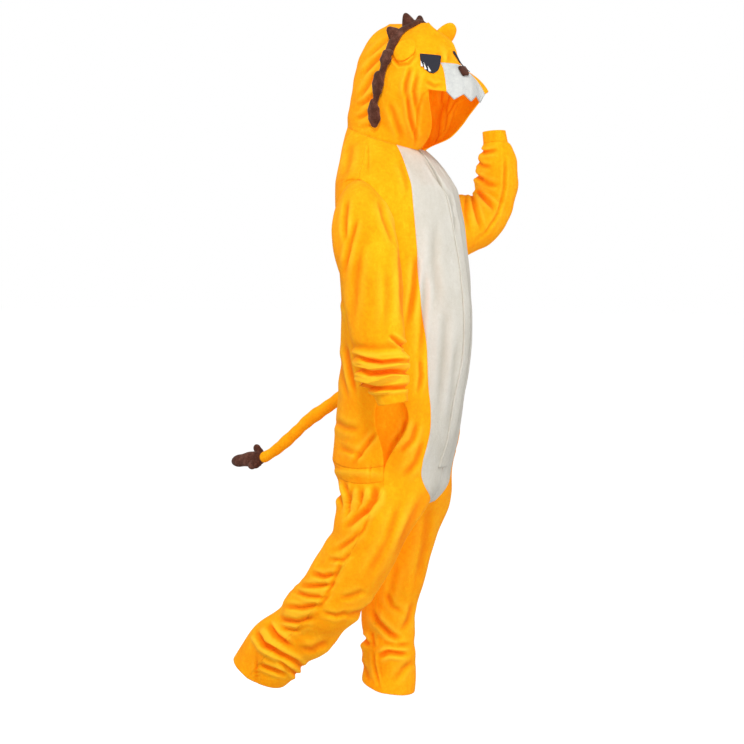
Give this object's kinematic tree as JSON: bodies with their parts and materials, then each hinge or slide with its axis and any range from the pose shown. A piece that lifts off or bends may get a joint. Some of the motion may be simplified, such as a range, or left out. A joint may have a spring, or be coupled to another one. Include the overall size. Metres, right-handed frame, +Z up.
{
  "type": "lion onesie",
  "caption": "Hooded lion costume in one piece, held in its worn form, with long sleeves, open cuffs and hems, a lion-face hood with a mane, and a tufted tail.",
  "frame": {"origin": "the middle of the base of the neck, where the garment is carried on the shoulders", "axes": "+Z up along the standing body, the front faces -Y, the right side is at -X"},
  "size_m": [0.7938, 0.7126, 1.7104],
  "materials": {
    "orange_fleece": "short matt fleece nap",
    "cream_fleece": "short matt fleece nap",
    "pale_muzzle_plush": "soft short plush",
    "brown_plush": "soft plush with a light nap",
    "eye_patch": "smooth felt patch with a printed light spot"
  },
  "bodies": {
    "root": {"back_upper_left": "orange_fleece", "back_upper_right": "orange_fleece", "belly_left": "cream_fleece", "belly_right": "cream_fleece", "cuff_left": "orange_fleece", "cuff_right": "orange_fleece", "ear_left": "orange_fleece", "ear_right": "orange_fleece", "eye_left": "eye_patch", "eye_right": "eye_patch", "front_left": "orange_fleece", "front_right": "orange_fleece", "hood_face_left": "orange_fleece", "hood_face_right": "orange_fleece", "hood_rear_left": "orange_fleece", "hood_rear_right": "orange_fleece", "mane_tuft_01": "brown_plush", "mane_tuft_02": "brown_plush", "mane_tuft_03": "brown_plush", "mane_tuft_04": "brown_plush", "mane_tuft_05": "brown_plush", "mane_tuft_06": "brown_plush", "mane_tuft_07": "brown_plush", "mane_tuft_08": "brown_plush", "mane_tuft_09": "brown_plush", "mane_tuft_10": "brown_plush", "mane_tuft_11": "brown_plush", "muzzle": "pale_muzzle_plush", "nose": "brown_plush", "placket": "orange_fleece", "pocket_bag_left": "orange_fleece", "pocket_bag_right": "orange_fleece", "seat_band_left": "orange_fleece", "seat_band_right": "orange_fleece", "seat_leg_left": "orange_fleece", "seat_leg_right": "orange_fleece", "sleeve_left": "orange_fleece", "sleeve_right": "orange_fleece", "tail": "orange_fleece", "tail_tuft": "brown_plush"}
  },
  "joints": []
}
